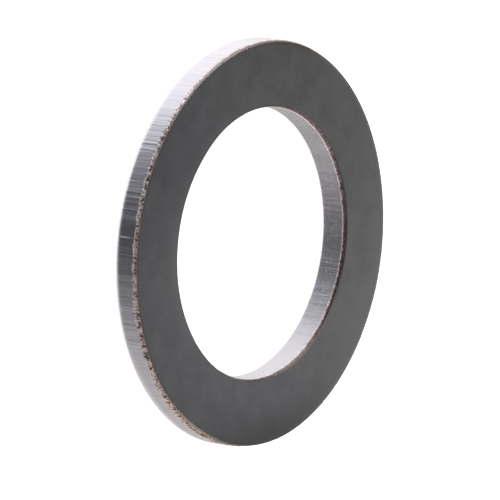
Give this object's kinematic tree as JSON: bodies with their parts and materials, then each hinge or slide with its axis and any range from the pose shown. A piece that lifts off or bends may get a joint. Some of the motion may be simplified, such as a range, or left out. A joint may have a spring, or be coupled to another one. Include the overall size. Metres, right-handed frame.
{
  "type": "spacer washer",
  "caption": "Thick flat steel ring, blanked and pierced from plate, with a plain round bore. It fills the axial gap beside a pin, shaft or bolt and spreads the load on its flat faces.",
  "frame": {"origin": "middle of the back face, on the bore axis", "axes": "+Z along the bore axis, from the back face to the front face with the torn edges; the ring is round, so +X and +Y are free"},
  "size_m": [0.075, 0.075, 0.005],
  "materials": {
    "dark_steel": "dark matt rolled plate on the faces, burnished lands and brown torn bands on the sheared edges"
  },
  "bodies": {
    "root": {"spacer_washer": "dark_steel"}
  },
  "joints": []
}
